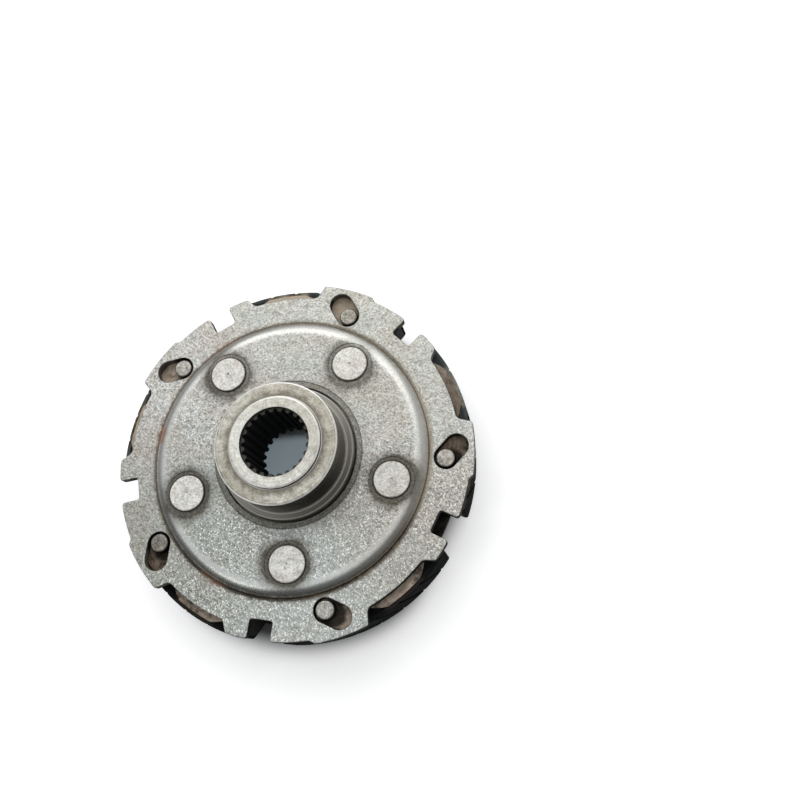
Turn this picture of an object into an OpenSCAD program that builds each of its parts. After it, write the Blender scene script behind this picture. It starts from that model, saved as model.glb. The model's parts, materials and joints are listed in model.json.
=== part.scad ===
// Centrifugal clutch, wet type: five weights swing out on posts under a pressed drive plate.
// Millimetres. Z runs along the hub axis, and the tails of the posts stand on z = 0.

/* [Overall] */
// Radius of the linings' outer face at rest, which the plates, posts and pins follow
shoe_r = 65.1; // [62:0.1:70]

/* [Drive plate] */
// Thickness of the pressed plate
plate_t = 3.2; // [2.6:0.1:4]
// How far the five large lobes stand out past the linings
lobe_out = 1.1; // [0.5:0.1:2.4]
// How far the plate between the large lobes stays inside the linings' face
rim_in = 0.3; // [0:0.1:1.5]
// How far the bottom of the long shallow recesses lies inside that face
recess_in = 4.1; // [2.6:0.1:4.8]
// How far the bottom of the square notches lies inside that face
notch_in = 7.3; // [6:0.1:9]
// Width of the square notches
notch_w = 8.2; // [6:0.1:9.6]
// Angle from a post to the middle of its notch
notch_a = 62.3; // [61:0.1:63.5]
// Angle from a post to the start of its large lobe
lobe_a = 7; // [5:0.1:8]
// Angle from a post to the start of its recess
recess_a = 24.4; // [23.5:0.1:26]
// Angle that the recess spans at the rim
recess_span = 27.2; // [24:0.1:28]
// Width of the flange, from the foot of the dish to the linings' face
flange_w = 14.7; // [14:0.1:15.4]
// Height of the dish above the flange
dish_h = 2.8; // [2.2:0.1:3.4]
// Width of the dish's rounded shoulder
dish_round = 4.8; // [3:0.1:6]
// Width of the smooth ring coined round the hub's collar
coin_w = 1.9; // [1:0.1:2.6]
// Depth of the coined rings
coin_depth = 0.2; // [0.1:0.05:0.4]

/* [Slots and guide pins] */
// How far the guide pins rest inside the linings' face
pin_in = 9.1; // [8.6:0.1:9.6]
// Angle from the neighbouring post to a guide pin at rest
pin_a = 12.8; // [12:0.1:13.6]
// Radius of the guide pins
pin_r = 3.25; // [2.8:0.05:3.4]
// Half the width of the slots
slot_r = 4.2; // [3.9:0.05:4.6]
// Swing of a weight from rest to the slot's outer end, in degrees
swing = 7; // [4:0.5:7]
// Depth to which a guide pin is pressed into its weight
pin_seat = 12; // [8:0.5:14]
// Chamfer at the pin's top
pin_chamfer = 0.4; // [0.2:0.05:0.8]

/* [Hub] */
// Radius of the boss that the one-way clutch runs on
boss_r = 21.7; // [20:0.1:22.5]
// Height of the boss's shoulder above the dish
boss_h = 15.2; // [10:0.1:22]
// Width of the boss's shoulder round the nose
shoulder_w = 5.5; // [4:0.1:6.5]
// Height of the nose above the shoulder
nose_h = 1.5; // [0.8:0.1:4]
// How far the collar at the foot of the boss stands out past it
collar_w = 2.5; // [1.5:0.1:2.8]
// Height of the collar above the dish
collar_h = 1.8; // [1:0.1:3]
// How far the relief at the bore's mouth is wider than the spline
mouth_w = 0.2; // [0.1:0.1:1]
// Depth of that relief
mouth_depth = 1.5; // [0.4:0.1:3]
// Radius at the bottom of the spline's spaces
spline_major_r = 12; // [11.6:0.1:12.1]
// Radius at the tips of the spline's teeth
spline_minor_r = 10.9; // [10.2:0.1:11.2]
// Number of spline teeth
spline_teeth = 24; // [18:1:28]
// Thickness of the hub's flange
hub_flange_t = 2.8; // [2.2:0.1:3]
// Radius of the hub's tail below the flange
tail_barrel_r = 16; // [14.5:0.1:20]
// Length of the hub's tail below the flange
tail_barrel_h = 3.6; // [1:0.1:8]

/* [Pivot posts] */
// How far the posts stand inside the foot of the dish
post_in = 11.4; // [11:0.1:12]
// Radius of a post's head
head_r = 6.45; // [5.6:0.05:6.8]
// Height of a head above the dish
head_h = 0.55; // [0.3:0.05:1.2]
// Radius of the post where it is riveted through
neck_r = 4; // [3.2:0.1:4.5]
// Radius of the post where its weight turns
journal_r = 5; // [4.4:0.1:5.4]
// Radius of the post's tail
tail_r = 3.2; // [2.8:0.1:3.6]
// Depth of the groove for the retaining ring
groove_depth = 0.6; // [0.4:0.05:0.8]
// Length of tail past the retaining ring
tail_out = 1.7; // [1:0.1:3]

/* [Weights and linings] */
// Height of the weights
weight_t = 16.3; // [14:0.1:20]
// Thickness of the linings
lining_t = 1.4; // [1:0.1:2.4]
// Depth of a shoe past the neighbouring post, lining and all
shoe_w = 15.6; // [15:0.1:16.2]
// Radius of the eye that turns on the post
eye_r = 8.2; // [7.4:0.1:8.8]
// Angle from the pivot to the weight's near end
near_a = 16.2; // [14:0.1:17]
// Angle from the pivot to the weight's far end
far_a = 75; // [73:0.1:76]
// Height of the rubbing pads on the weights
pad_h = 0.6; // [0.3:0.1:1.2]
// Depth of the oil grooves in a lining
oil_groove = 0.5; // [0.3:0.1:1]
// Width of the oil grooves
oil_groove_w = 1.1; // [0.6:0.1:1.8]
// Gap between a lining's edge and the weight's faces
lining_inset = 0.5; // [0.2:0.1:1.5]

/* [Springs] */
// Outside diameter of a return spring
spring_d = 6.2; // [5.4:0.1:6.6]
// Wire diameter of a return spring
wire_d = 1; // [0.9:0.05:1.2]
// Turns of a return spring
spring_turns = 8; // [6:1:9]

/* [Side plate and rings] */
// How far the side plate's edge lies inside the linings' face
side_in = 6.4; // [5:0.1:8]
// Width of the side plate inside the circle of posts
side_w = 11; // [9.5:0.1:15]
// Thickness of the side plate
side_t = 1.8; // [1.2:0.1:2.4]
// Thickness of the retaining rings
ring_t = 1.2; // [0.8:0.1:1.4]
// Outer radius of the retaining rings
ring_r = 5.6; // [5:0.1:6.2]

/* [Clearances] */
// Play between the weights and the plates
end_play = 0.3; // [0.2:0.05:0.5]
// Radial clearance of a weight on its post
journal_gap = 0.05; // [0.02:0.01:0.1]
// Radial clearance of holes over the posts' necks and tails
hole_gap = 0.1; // [0.05:0.01:0.2]
// Play of a retaining ring in its groove
ring_gap = 0.05; // [0.02:0.01:0.1]
// Radial gap between the hub's flange and the dish's wall
dish_gap = 0.8; // [0.4:0.1:1.5]
// Radial gap between the hub's collar and the hole in the dish
collar_gap = 0.8; // [0.3:0.1:1.2]

/* [Hidden] */
$fn = 96;
cut = 0.5; // overshoot of cutting solids

// The five sectors
count = 5;
sector = 360 / count;
first_a = -18; // angle of the first post

// Radii that follow the linings' face
lobe_r = shoe_r + lobe_out;
rim_r = shoe_r - rim_in;
recess_r = shoe_r - recess_in;
notch_r = shoe_r - notch_in;
pin_pitch_r = shoe_r - pin_in;
dish_r = shoe_r - flange_w;
hub_flange_r = dish_r - plate_t - dish_gap;
post_pitch_r = dish_r - post_in;
lining_in_r = shoe_r - lining_t;
weight_in_r = shoe_r - shoe_w;
side_r = shoe_r - side_in;
side_hole_r = post_pitch_r - side_w;

// Radii that follow the boss
nose_r = boss_r - shoulder_w;
collar_r = boss_r + collar_w;
plate_hole_r = collar_r + collar_gap;
coin_r = plate_hole_r + coin_w;
mouth_r = spline_major_r + mouth_w;

// Heights, from the resting plane up
z_ring = tail_out;
z_side = z_ring + ring_t + ring_gap;
z_side_top = z_side + side_t;
z_weight = z_side_top + end_play;
z_weight_top = z_weight + weight_t;
z_flange = z_weight_top + end_play;
z_flange_top = z_flange + plate_t;
z_ceiling = z_flange + dish_h;
z_dish = z_flange_top + dish_h;
z_hub_flange = z_ceiling - hub_flange_t;
z_hub_rear = z_hub_flange - tail_barrel_h;
z_collar = z_dish + collar_h;
z_shoulder = z_dish + boss_h;
z_nose = z_shoulder + nose_h;

function polar(r, a) = r * [cos(a), sin(a)];
function unit(v) = v / norm(v);
function heading(v) = atan2(v[1], v[0]);

// Points of the arc of radius r that rounds corner b between a and c
function corner(a, b, c, r, n) =
    let (u = unit(a - b), w = unit(c - b), half = acos(u * w) / 2)
    let (centre = b + unit(u + w) * r / sin(half))
    let (from = heading(b + u * r / tan(half) - centre), to = heading(b + w * r / tan(half) - centre))
    let (turn = (to - from + 540) % 360 - 180)
    [for (i = [0:n]) centre + polar(r, from + turn * i / n)];

// An outline of [x, y, corner radius] with its corners rounded
function rounded(p, n = 5) = [
    for (i = [0:len(p) - 1])
        let (a = p[(i + len(p) - 1) % len(p)], b = p[i], c = p[(i + 1) % len(p)])
        each b[2] == 0 ? [[b[0], b[1]]] : corner([a[0], a[1]], [b[0], b[1]], [c[0], c[1]], b[2], n)
];

// A corner at radius r and angle a, rounded by f
function node_at(r, a, f = 0) = [r * cos(a), r * sin(a), f];

// Sharp points along an arc
function arc(r, from, to, n) = [for (i = [0:n]) node_at(r, from + (to - from) * i / n)];

// A corner of the notch whose middle lies at angle a
function notch_corner(r, a, side, f) =
    let (p = polar(r, a) + polar(side * notch_w / 2, a + 90))
    [p[0], p[1], f];

// Edge of the drive plate from one notch to the next
notch_fillet = 1;
rim_round = 1.2;
step_span = 1.6;
recess_end = recess_a + recess_span;
rim_at_notch = sqrt(rim_r * rim_r - notch_w * notch_w / 4);
function plate_sector(k) =
    let (s = k * sector + first_a, last = s + notch_a - sector, next = s + notch_a)
    concat(
        [notch_corner(notch_r, last, -1, notch_fillet), notch_corner(notch_r, last, 1, notch_fillet)],
        [notch_corner(rim_at_notch, last, 1, rim_round)],
        arc(rim_r, last + 6, s + lobe_a - step_span / 2, 5),
        arc(lobe_r, s + lobe_a + step_span / 2, s + recess_a - 1.4, 8),
        [node_at(lobe_r, s + recess_a, 1)],
        [node_at(recess_r, s + recess_a + 2, 2.4)],
        arc(recess_r, s + recess_a + 4.6, s + recess_end - 5, 9),
        [node_at(recess_r, s + recess_end - 2.4, 2.4)],
        [node_at(rim_r, s + recess_end, 1.4)],
        arc(rim_r, s + recess_end + 1.6, next - 5.6, 2),
        [notch_corner(rim_at_notch, next, -1, rim_round)]
    );
plate_edge = rounded([for (k = [0:count - 1]) each plate_sector(k)]);

// The weight's far end meets the neighbouring post, one sector back
pivot = polar(post_pitch_r, 0);
pin_rest = polar(pin_pitch_r, pin_a - sector);
arm = pin_rest - pivot;
slot_heading = heading(arm) + 90 + swing / 2;
pin_travel = 2 * norm(arm) * sin(swing / 2);
slot_lead = 0.3; // from the pin at rest to the slot's inner centre
slot_spare = -0.3; // from the pin at full swing to the slot's outer centre
slot_in = pin_rest + polar(slot_lead, slot_heading);
slot_len = pin_travel + slot_spare - slot_lead;

// Outline of a weight, pivot on the X axis
eye_near = 27.5; // where the near end's edge leaves the eye
eye_inner = 211.5; // where the inner edge leaves the eye
near_cut = 7.6; // how far in from the linings' face the near end's slant reaches
near_back = 2.4; // angle by which it slants
far_cut = 8.6; // how far in from the linings' face the far end stays straight
near_edge = polar(shoe_r - near_cut, near_back - near_a);
near_start = pivot + polar(eye_r, eye_near);
inner_start = pivot + polar(eye_r, eye_inner);
neck_a = 28; // where the inner arc gives way to the eye
chamfer_a = 8; // the far end's inner corner is cut back by this angle
weight_outline = rounded(concat(
    [[near_start[0], near_start[1], 0], [inner_start[0], inner_start[1], 0]],
    [node_at(weight_in_r, -neck_a, 3)],
    arc(weight_in_r, -neck_a - 4, -far_a + chamfer_a + 1, 8),
    [node_at(weight_in_r, -far_a + chamfer_a, 1.5)],
    [node_at(shoe_r - far_cut, -far_a + 0.5, 2)],
    [node_at(lining_in_r, -far_a, 0)],
    arc(lining_in_r, -far_a + 2.4, -near_a - 2, 16),
    [node_at(lining_in_r, -near_a, 0)],
    [[near_edge[0], near_edge[1], 2]]
));

// The crescent pad and the pad round the guide pin
crescent_a = -33.8;
crescent_r = 16.4;
crescent_at = shoe_r - 16.6;
pin_pad_from = -66;
pin_pad_to = -50;

// A return spring runs from its weight's far end to a hole in the side plate
spring_far_r = shoe_r - 12.1;
spring_near_r = shoe_r - 12.6;
spring_far = polar(spring_far_r, -far_a + 6);
spring_near = polar(spring_near_r, -18 - sector);
spring_vec = spring_near - spring_far;
spring_reach = norm(spring_vec);
spring_a = heading(spring_vec);
pocket_h = spring_d + 1;
pocket_r = spring_d / 2 + 1.4;
pass_r = spring_d / 2 + 2.8; // the next weight swings past the spring's fixed end
spring_z = z_weight + pocket_h / 2;
stub_r = wire_d / 2 + 0.3; // hole that takes a hook
stub_h = 3 * wire_d; // how far a hook reaches past the pocket
coil_r = (spring_d - wire_d) / 2;
coil_lead = 4.2 * wire_d; // straight wire at each end of the coil
coil_pitch = (spring_reach - 2 * coil_lead) / spring_turns;
coil_steps = 10;

module at_sector(k) {
    rotate([0, 0, first_a + (k - 1) * sector])
        children();
}

module slot(r, length) {
    circle(r);
    translate([length, 0])
        circle(r);
    translate([0, -r])
        square([length, 2 * r]);
}

module drive_plate() {
    cavity_r = dish_r - plate_t;
    foot_h = 0.5; // upright part of the dish's wall
    color("darkgray")
        difference() {
            union() {
                translate([0, 0, z_flange])
                    linear_extrude(plate_t)
                        polygon(plate_edge);
                rotate_extrude()
                    polygon(concat(
                        [[0, z_flange], [dish_r, z_flange]],
                        [for (i = [0:9])
                            let (a = 90 * i / 9)
                            [dish_r - dish_round * (1 - cos(a)), z_flange_top + foot_h + (dish_h - foot_h) * sin(a)]],
                        [[0, z_dish]]
                    ));
            }
            translate([0, 0, z_flange - cut])
                cylinder(r = cavity_r, h = dish_h + cut);
            translate([0, 0, z_ceiling - cut])
                cylinder(r = plate_hole_r, h = plate_t + 2 * cut);
            translate([0, 0, z_dish - coin_depth])
                cylinder(r = coin_r, h = coin_depth + cut);
            for (k = [1:count])
                at_sector(k) {
                    translate([post_pitch_r, 0, z_ceiling - cut])
                        cylinder(r = neck_r + hole_gap, h = plate_t + 2 * cut);
                    translate([post_pitch_r, 0, z_dish - coin_depth])
                        cylinder(r = head_r + 1.6, h = coin_depth + cut);
                    translate([slot_in[0], slot_in[1], z_flange - cut])
                        rotate([0, 0, slot_heading])
                            linear_extrude(plate_t + 2 * cut)
                                slot(slot_r, slot_len);
                }
        }
}

module splined_hub() {
    tooth_gap = 180 / spline_teeth;
    tip = tooth_gap * 1.3; // angle of a space between the tips of its teeth
    root = tooth_gap * 0.6; // angle of a space at its bottom
    edge = 0.4;
    foot = 0.8; // fillet at the foot of the boss
    color("gainsboro")
        difference() {
            rotate_extrude()
                polygon(concat(
                    [[0, z_hub_rear], [tail_barrel_r - edge, z_hub_rear], [tail_barrel_r, z_hub_rear + edge]],
                    [[tail_barrel_r, z_hub_flange], [hub_flange_r, z_hub_flange], [hub_flange_r, z_ceiling]],
                    [[collar_r, z_ceiling], [collar_r, z_collar - edge], [collar_r - edge, z_collar]],
                    [for (i = [0:4]) [boss_r + foot, z_collar + foot] + polar(foot, 270 - 90 * i / 4)],
                    [[boss_r, z_shoulder - edge], [boss_r - edge, z_shoulder], [nose_r, z_shoulder]],
                    [[nose_r, z_nose - edge], [nose_r - edge, z_nose], [0, z_nose]]
                ));
            translate([0, 0, z_hub_rear - cut])
                cylinder(r = spline_minor_r, h = z_nose - z_hub_rear + 2 * cut);
            translate([0, 0, z_nose - mouth_depth])
                cylinder(r = mouth_r, h = mouth_depth + cut);
            translate([0, 0, z_hub_rear - cut])
                linear_extrude(z_nose - z_hub_rear + cut - mouth_depth / 2)
                    for (i = [0:spline_teeth - 1])
                        rotate([0, 0, i * 360 / spline_teeth])
                            polygon([
                                polar(spline_minor_r - 1, -tip / 2), polar(spline_minor_r, -tip / 2),
                                polar(spline_major_r, -root / 2), polar(spline_major_r, root / 2),
                                polar(spline_minor_r, tip / 2), polar(spline_minor_r - 1, tip / 2)
                            ]);
            for (k = [1:count])
                at_sector(k)
                    translate([post_pitch_r, 0, z_hub_flange - cut])
                        cylinder(r = neck_r + hole_gap, h = hub_flange_t + 2 * cut);
        }
}

module side_plate() {
    color("dimgray")
        difference() {
            translate([0, 0, z_side])
                cylinder(r = side_r, h = side_t);
            translate([0, 0, z_side - cut])
                cylinder(r = side_hole_r, h = side_t + 2 * cut);
            for (k = [1:count])
                at_sector(k) {
                    translate([post_pitch_r, 0, z_side - cut])
                        cylinder(r = tail_r + hole_gap, h = side_t + 2 * cut);
                    translate([spring_near[0], spring_near[1], z_side - cut])
                        cylinder(r = stub_r, h = side_t + 2 * cut);
                }
        }
}

module pivot_post(k) {
    edge = 0.3;
    groove_r = tail_r - groove_depth;
    head_foot = z_dish - coin_depth;
    head_top = z_dish + head_h;
    punch = 0.5; // centre mark left by the riveting tool
    color("silver")
        at_sector(k)
            translate([post_pitch_r, 0, 0])
                rotate_extrude()
                    polygon([
                        [0, 0], [tail_r - edge, 0], [tail_r, edge], [tail_r, z_ring], [groove_r, z_ring],
                        [groove_r, z_side], [tail_r, z_side], [tail_r, z_side_top], [journal_r, z_side_top],
                        [journal_r, z_hub_flange], [neck_r, z_hub_flange], [neck_r, head_foot],
                        [head_r, head_foot], [head_r, head_top - edge], [head_r - edge, head_top],
                        [punch, head_top], [0, head_top - punch]
                    ]);
}

// Room for a spring in the weight of the sector that lies ahead sectors behind it
module spring_pocket(r, ahead) {
    rotate([0, 0, ahead * sector])
        translate([spring_far[0], spring_far[1], z_weight - cut])
            rotate([0, 0, spring_a])
                linear_extrude(pocket_h + cut)
                    slot(r, spring_reach);
}

module weight(k) {
    z_pad = z_weight_top - pad_h;
    color("sienna")
        at_sector(k)
            difference() {
                union() {
                    translate([0, 0, z_weight])
                        linear_extrude(weight_t - pad_h)
                            polygon(weight_outline);
                    translate([pivot[0], 0, z_weight])
                        cylinder(r = eye_r, h = weight_t);
                    intersection() {
                        translate([0, 0, z_pad - cut])
                            linear_extrude(pad_h + cut)
                                polygon(weight_outline);
                        union() {
                            translate(concat(polar(crescent_at, crescent_a), [z_pad - cut]))
                                cylinder(r = crescent_r, h = pad_h + 2 * cut);
                            translate([0, 0, z_pad - cut])
                                linear_extrude(pad_h + 2 * cut)
                                    polygon([
                                        polar(weight_in_r - 2, pin_pad_from), polar(shoe_r + 2, pin_pad_from),
                                        polar(shoe_r + 2, pin_pad_to), polar(weight_in_r - 2, pin_pad_to)
                                    ]);
                        }
                    }
                }
                translate([pivot[0], 0, z_weight - cut])
                    cylinder(r = journal_r + journal_gap, h = weight_t + 2 * cut);
                translate([pin_rest[0], pin_rest[1], z_weight_top - pin_seat])
                    cylinder(r = pin_r, h = pin_seat + cut);
                spring_pocket(pocket_r, 0);
                spring_pocket(pass_r, 1);
                translate([spring_far[0], spring_far[1], z_weight + pocket_h - cut])
                    cylinder(r = stub_r, h = stub_h + 1 + cut);
            }
}

module lining(k) {
    lining_h = weight_t - 2 * lining_inset;
    end_round = 0.9;
    slant = near_back * lining_t / (near_cut - lining_t); // carries the near end's slant on
    face = rounded(concat(
        arc(lining_in_r, -far_a, -near_a, 24),
        [node_at(shoe_r, -near_a - slant, end_round)],
        arc(shoe_r, -near_a - 2.5, -far_a + 2.5, 24),
        [node_at(shoe_r, -far_a, end_round)]
    ));
    grooves = 6;
    color([0.1, 0.1, 0.1])
        at_sector(k)
            difference() {
                translate([0, 0, z_weight + lining_inset])
                    linear_extrude(lining_h)
                        polygon(face);
                for (i = [1:grooves])
                    rotate([0, 0, -near_a - (far_a - near_a) * i / (grooves + 1)])
                        translate([shoe_r - oil_groove, 0, z_weight + weight_t / 2])
                            rotate([30, 0, 0])
                                translate([0, -oil_groove_w / 2, -weight_t])
                                    cube([oil_groove + cut, oil_groove_w, 2 * weight_t]);
            }
}

module guide_pin(k) {
    color("silver")
        at_sector(k)
            translate([pin_rest[0], pin_rest[1], 0])
                rotate_extrude()
                    polygon([
                        [0, z_weight_top - pin_seat], [pin_r, z_weight_top - pin_seat],
                        [pin_r, z_flange_top - pin_chamfer], [pin_r - pin_chamfer, z_flange_top],
                        [0, z_flange_top]
                    ]);
}

// Centre line of a return spring, from the hook in its weight to the tail bent under the side plate
function spring_line() =
    let (top = pocket_h / 2 + stub_h, low = z_side - spring_z - wire_d / 2 - ring_gap, w = wire_d)
    let (n = spring_turns * coil_steps, near = spring_reach - stub_r + w / 2, far = stub_r - w / 2)
    concat(
        [[far, 0, top], [far, 0, w], [far + 0.3 * w, 0, 0.3 * w], [far + w, 0, 0]],
        [for (i = [0:n])
            let (r = coil_r * min(1, i / 5, (n - i) / 5), a = i * 360 / coil_steps)
            [coil_lead + coil_pitch * i / coil_steps, r * sin(a), r * cos(a)]],
        [[near - w, 0, 0], [near - 0.3 * w, 0, -0.3 * w], [near, 0, -w], [near, 0, low + 0.6 * w]],
        [[near + 0.2 * w, 0, low + 0.15 * w], [near + 0.7 * w, 0, low], [near + 2.4 * w, 0, low]]
    );

// A round wire along a line of points
module wire(line, d, sides = 6) {
    last = len(line) - 1;
    skew = unit([1, 1, 0]);
    rings = [
        for (i = [0:last])
            let (t = unit(line[min(i + 1, last)] - line[max(i - 1, 0)]))
            let (u = unit(cross(t, skew)), v = cross(t, u))
            each [for (j = [0:sides - 1]) line[i] + d / 2 * (u * cos(j * 360 / sides) + v * sin(j * 360 / sides))]
    ];
    walls = [
        for (i = [0:last - 1], j = [0:sides - 1])
            let (a = i * sides + j, b = i * sides + (j + 1) % sides)
            each [[a, b, b + sides], [a, b + sides, a + sides]]
    ];
    start = [for (j = [0:sides - 1]) sides - 1 - j];
    end = [for (j = [0:sides - 1]) last * sides + j];
    polyhedron(rings, concat(walls, [start, end]));
}

module return_spring(k) {
    color("goldenrod")
        at_sector(k)
            translate([spring_far[0], spring_far[1], spring_z])
                rotate([0, 0, spring_a])
                    wire(spring_line(), wire_d);
}

module retaining_ring(k) {
    grip_r = tail_r - groove_depth + ring_gap;
    web_r = tail_r + 0.7;
    mouth = 5.2;
    color("gray")
        at_sector(k)
            translate([post_pitch_r, 0, z_ring + ring_gap / 2])
                difference() {
                    union() {
                        difference() {
                            cylinder(r = ring_r, h = ring_t);
                            translate([0, 0, -cut])
                                cylinder(r = web_r, h = ring_t + 2 * cut);
                        }
                        for (a = [60, 180, 300])
                            rotate([0, 0, a])
                                translate([grip_r - 0.4, -0.9, 0])
                                    cube([web_r - grip_r + 1, 1.8, ring_t]);
                    }
                    translate([0, 0, -cut])
                        cylinder(r = grip_r, h = ring_t + 2 * cut);
                    translate([0, -mouth / 2, -cut])
                        cube([ring_r + cut, mouth, ring_t + 2 * cut]);
                }
}

drive_plate();
splined_hub();
side_plate();
pivot_post(1);  // pivot_post_1
pivot_post(2);  // pivot_post_2
pivot_post(3);  // pivot_post_3
pivot_post(4);  // pivot_post_4
pivot_post(5);  // pivot_post_5
weight(1);  // weight_1
weight(2);  // weight_2
weight(3);  // weight_3
weight(4);  // weight_4
weight(5);  // weight_5
lining(1);  // lining_1
lining(2);  // lining_2
lining(3);  // lining_3
lining(4);  // lining_4
lining(5);  // lining_5
guide_pin(1);  // guide_pin_1
guide_pin(2);  // guide_pin_2
guide_pin(3);  // guide_pin_3
guide_pin(4);  // guide_pin_4
guide_pin(5);  // guide_pin_5
return_spring(1);  // return_spring_1
return_spring(2);  // return_spring_2
return_spring(3);  // return_spring_3
return_spring(4);  // return_spring_4
return_spring(5);  // return_spring_5
retaining_ring(1);  // retaining_ring_1
retaining_ring(2);  // retaining_ring_2
retaining_ring(3);  // retaining_ring_3
retaining_ring(4);  // retaining_ring_4
retaining_ring(5);  // retaining_ring_5
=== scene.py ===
import json
import math
from functools import partial

import bmesh
import bpy
from mathutils import Matrix, Vector

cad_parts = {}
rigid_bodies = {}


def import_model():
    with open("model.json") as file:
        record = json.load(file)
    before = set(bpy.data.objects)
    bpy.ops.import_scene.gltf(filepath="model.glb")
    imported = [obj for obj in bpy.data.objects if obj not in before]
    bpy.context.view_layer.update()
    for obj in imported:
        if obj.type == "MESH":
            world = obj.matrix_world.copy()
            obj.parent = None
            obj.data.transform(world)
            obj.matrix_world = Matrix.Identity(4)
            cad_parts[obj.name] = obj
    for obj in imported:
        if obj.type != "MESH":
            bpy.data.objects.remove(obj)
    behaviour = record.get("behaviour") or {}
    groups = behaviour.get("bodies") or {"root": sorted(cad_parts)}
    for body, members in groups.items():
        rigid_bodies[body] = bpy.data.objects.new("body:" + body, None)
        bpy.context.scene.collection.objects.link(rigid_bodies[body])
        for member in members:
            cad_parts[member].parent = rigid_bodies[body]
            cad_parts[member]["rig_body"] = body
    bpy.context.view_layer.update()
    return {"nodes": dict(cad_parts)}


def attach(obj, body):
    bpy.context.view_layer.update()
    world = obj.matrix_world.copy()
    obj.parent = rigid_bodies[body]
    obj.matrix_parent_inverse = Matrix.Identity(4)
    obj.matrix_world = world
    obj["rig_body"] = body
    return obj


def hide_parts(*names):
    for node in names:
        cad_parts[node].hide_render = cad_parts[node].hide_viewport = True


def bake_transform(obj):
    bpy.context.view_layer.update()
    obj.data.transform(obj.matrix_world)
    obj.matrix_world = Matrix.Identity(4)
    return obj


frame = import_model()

print("frame loaded,", len(frame["nodes"]), "nodes")

mm = 0.001
sectors = {"count": 5, "first": -18, "step": 72}  # degrees from +X to the first post, and between posts


def sectorAngle(index):
    return math.radians(sectors["first"] + index * sectors["step"])


def polar(radius, degrees):
    return Vector((radius * math.cos(math.radians(degrees)), radius * math.sin(math.radians(degrees)), 0.0))


# Colours and nodes, with the settings that many nodes share

smooth = {"interpolation_type": "SMOOTHSTEP"}
mix = {"out": 2, "data_type": "RGBA"}
tint = {"out": 2, "data_type": "RGBA", "blend_type": "MULTIPLY"}
spread = (0.3, 0.7)  # where nearly all values of a noise lie
tones = (0.36, 0.5, 0.62)  # values of two mixed noises where a dark, a middle and a light colour stand


def linear(hexColour):
    channels = [int(hexColour[i:i + 2], 16) / 255 for i in (1, 3, 5)]
    return [c / 12.92 if c <= 0.04045 else ((c + 0.055) / 1.055) ** 2.4 for c in channels] + [1.0]


def perMm(size):  # texture scale for a feature of that many mm, because object coordinates are in metres
    return 1000.0 / size


def addNode(tree, kind, inputs=(), out=0, stops=(), **settings):  # inputs in their order, or by name or number
    node = tree.nodes.new("ShaderNode" + kind)
    for name, value in settings.items():
        setattr(node, name, value)
    for name, value in inputs.items() if isinstance(inputs, dict) else enumerate(inputs):
        if isinstance(value, bpy.types.NodeSocket):
            tree.links.new(value, node.inputs[name])
        else:
            node.inputs[name].default_value = linear(value) if isinstance(value, str) else value
    if stops:
        elements = node.color_ramp.elements
        while len(elements) < len(stops):
            elements.new(0.5)
        for element, (position, colour) in zip(elements, stops):
            element.position = position
            element.color = linear(colour)
    return node.outputs[out] if len(node.outputs) else node


def startMaterial(name):
    material = bpy.data.materials.new(name)
    material.use_nodes = True
    material.node_tree.nodes.clear()
    return material, partial(addNode, material.node_tree)


def finishMaterial(add, sockets):
    add("OutputMaterial", {"Surface": add("BsdfPrincipled", sockets)})


# Places on the part that the materials share

def radialPlace(add):
    # Place in metres, the same in mm and flat, distance in mm from the hub's axis, and how level the surface is
    place = add("TexCoord", out="Object")
    flat = add("VectorMath", [place, (1 / mm, 1 / mm, 0.0)], operation="MULTIPLY")
    radius = add("VectorMath", [flat], "Value", operation="LENGTH")
    level = add("SeparateXYZ", [add("TexCoord", out="Normal")], "Z")
    return place, flat, radius, level


def sameTurn(add, flat, radius, pitch, offset):
    # Distance in mm from the nearest of five like points, by folding the sectors into one
    split = add("SeparateXYZ", [flat]).node.outputs
    turn = add("Math", [split[1], split[0]], operation="ARCTAN2")
    turn = add("Math", [turn, sectorAngle(0) + math.radians(offset)], operation="SUBTRACT")
    half = math.radians(sectors["step"] / 2)
    turn = add("Math", [turn, half, -half], operation="WRAP")
    along = add("Math", [turn], operation="COSINE")
    along = add("Math", [along, radius], operation="MULTIPLY")
    along = add("Math", [along, pitch], operation="SUBTRACT")
    across = add("Math", [turn], operation="SINE")
    across = add("Math", [across, radius], operation="MULTIPLY")
    local = add("CombineXYZ", [along, across])
    return add("VectorMath", [local], "Value", operation="LENGTH")


def lightAndShadeSide(add, flat, degrees, low, high):
    # 1 on the side of the part at that azimuth and 0 away from it, between two cosines of the angle from it; it
    # lays painted light and shade, with some oil, on one side of the part
    out = add("VectorMath", [flat], operation="NORMALIZE")
    lean = add("VectorMath", [out, polar(1, degrees)], "Value", operation="DOT_PRODUCT")
    return add("MapRange", [lean, low, high, 0.0, 1.0], **smooth)


def sideShaded(add, flat, colour, sideShades):  # the colour darkened and tinted on sides of the part, each a painted shade on one side
    for degrees, low, high, shadeTint in sideShades:
        colour = add("Mix", {0: lightAndShadeSide(add, flat, degrees, low, high), 6: colour, 7: shadeTint}, **tint)
    return colour


# Materials. A side in their dictionaries is an azimuth in degrees and the two cosines that the side mask takes;
# most sides carry painted light and shade

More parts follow.
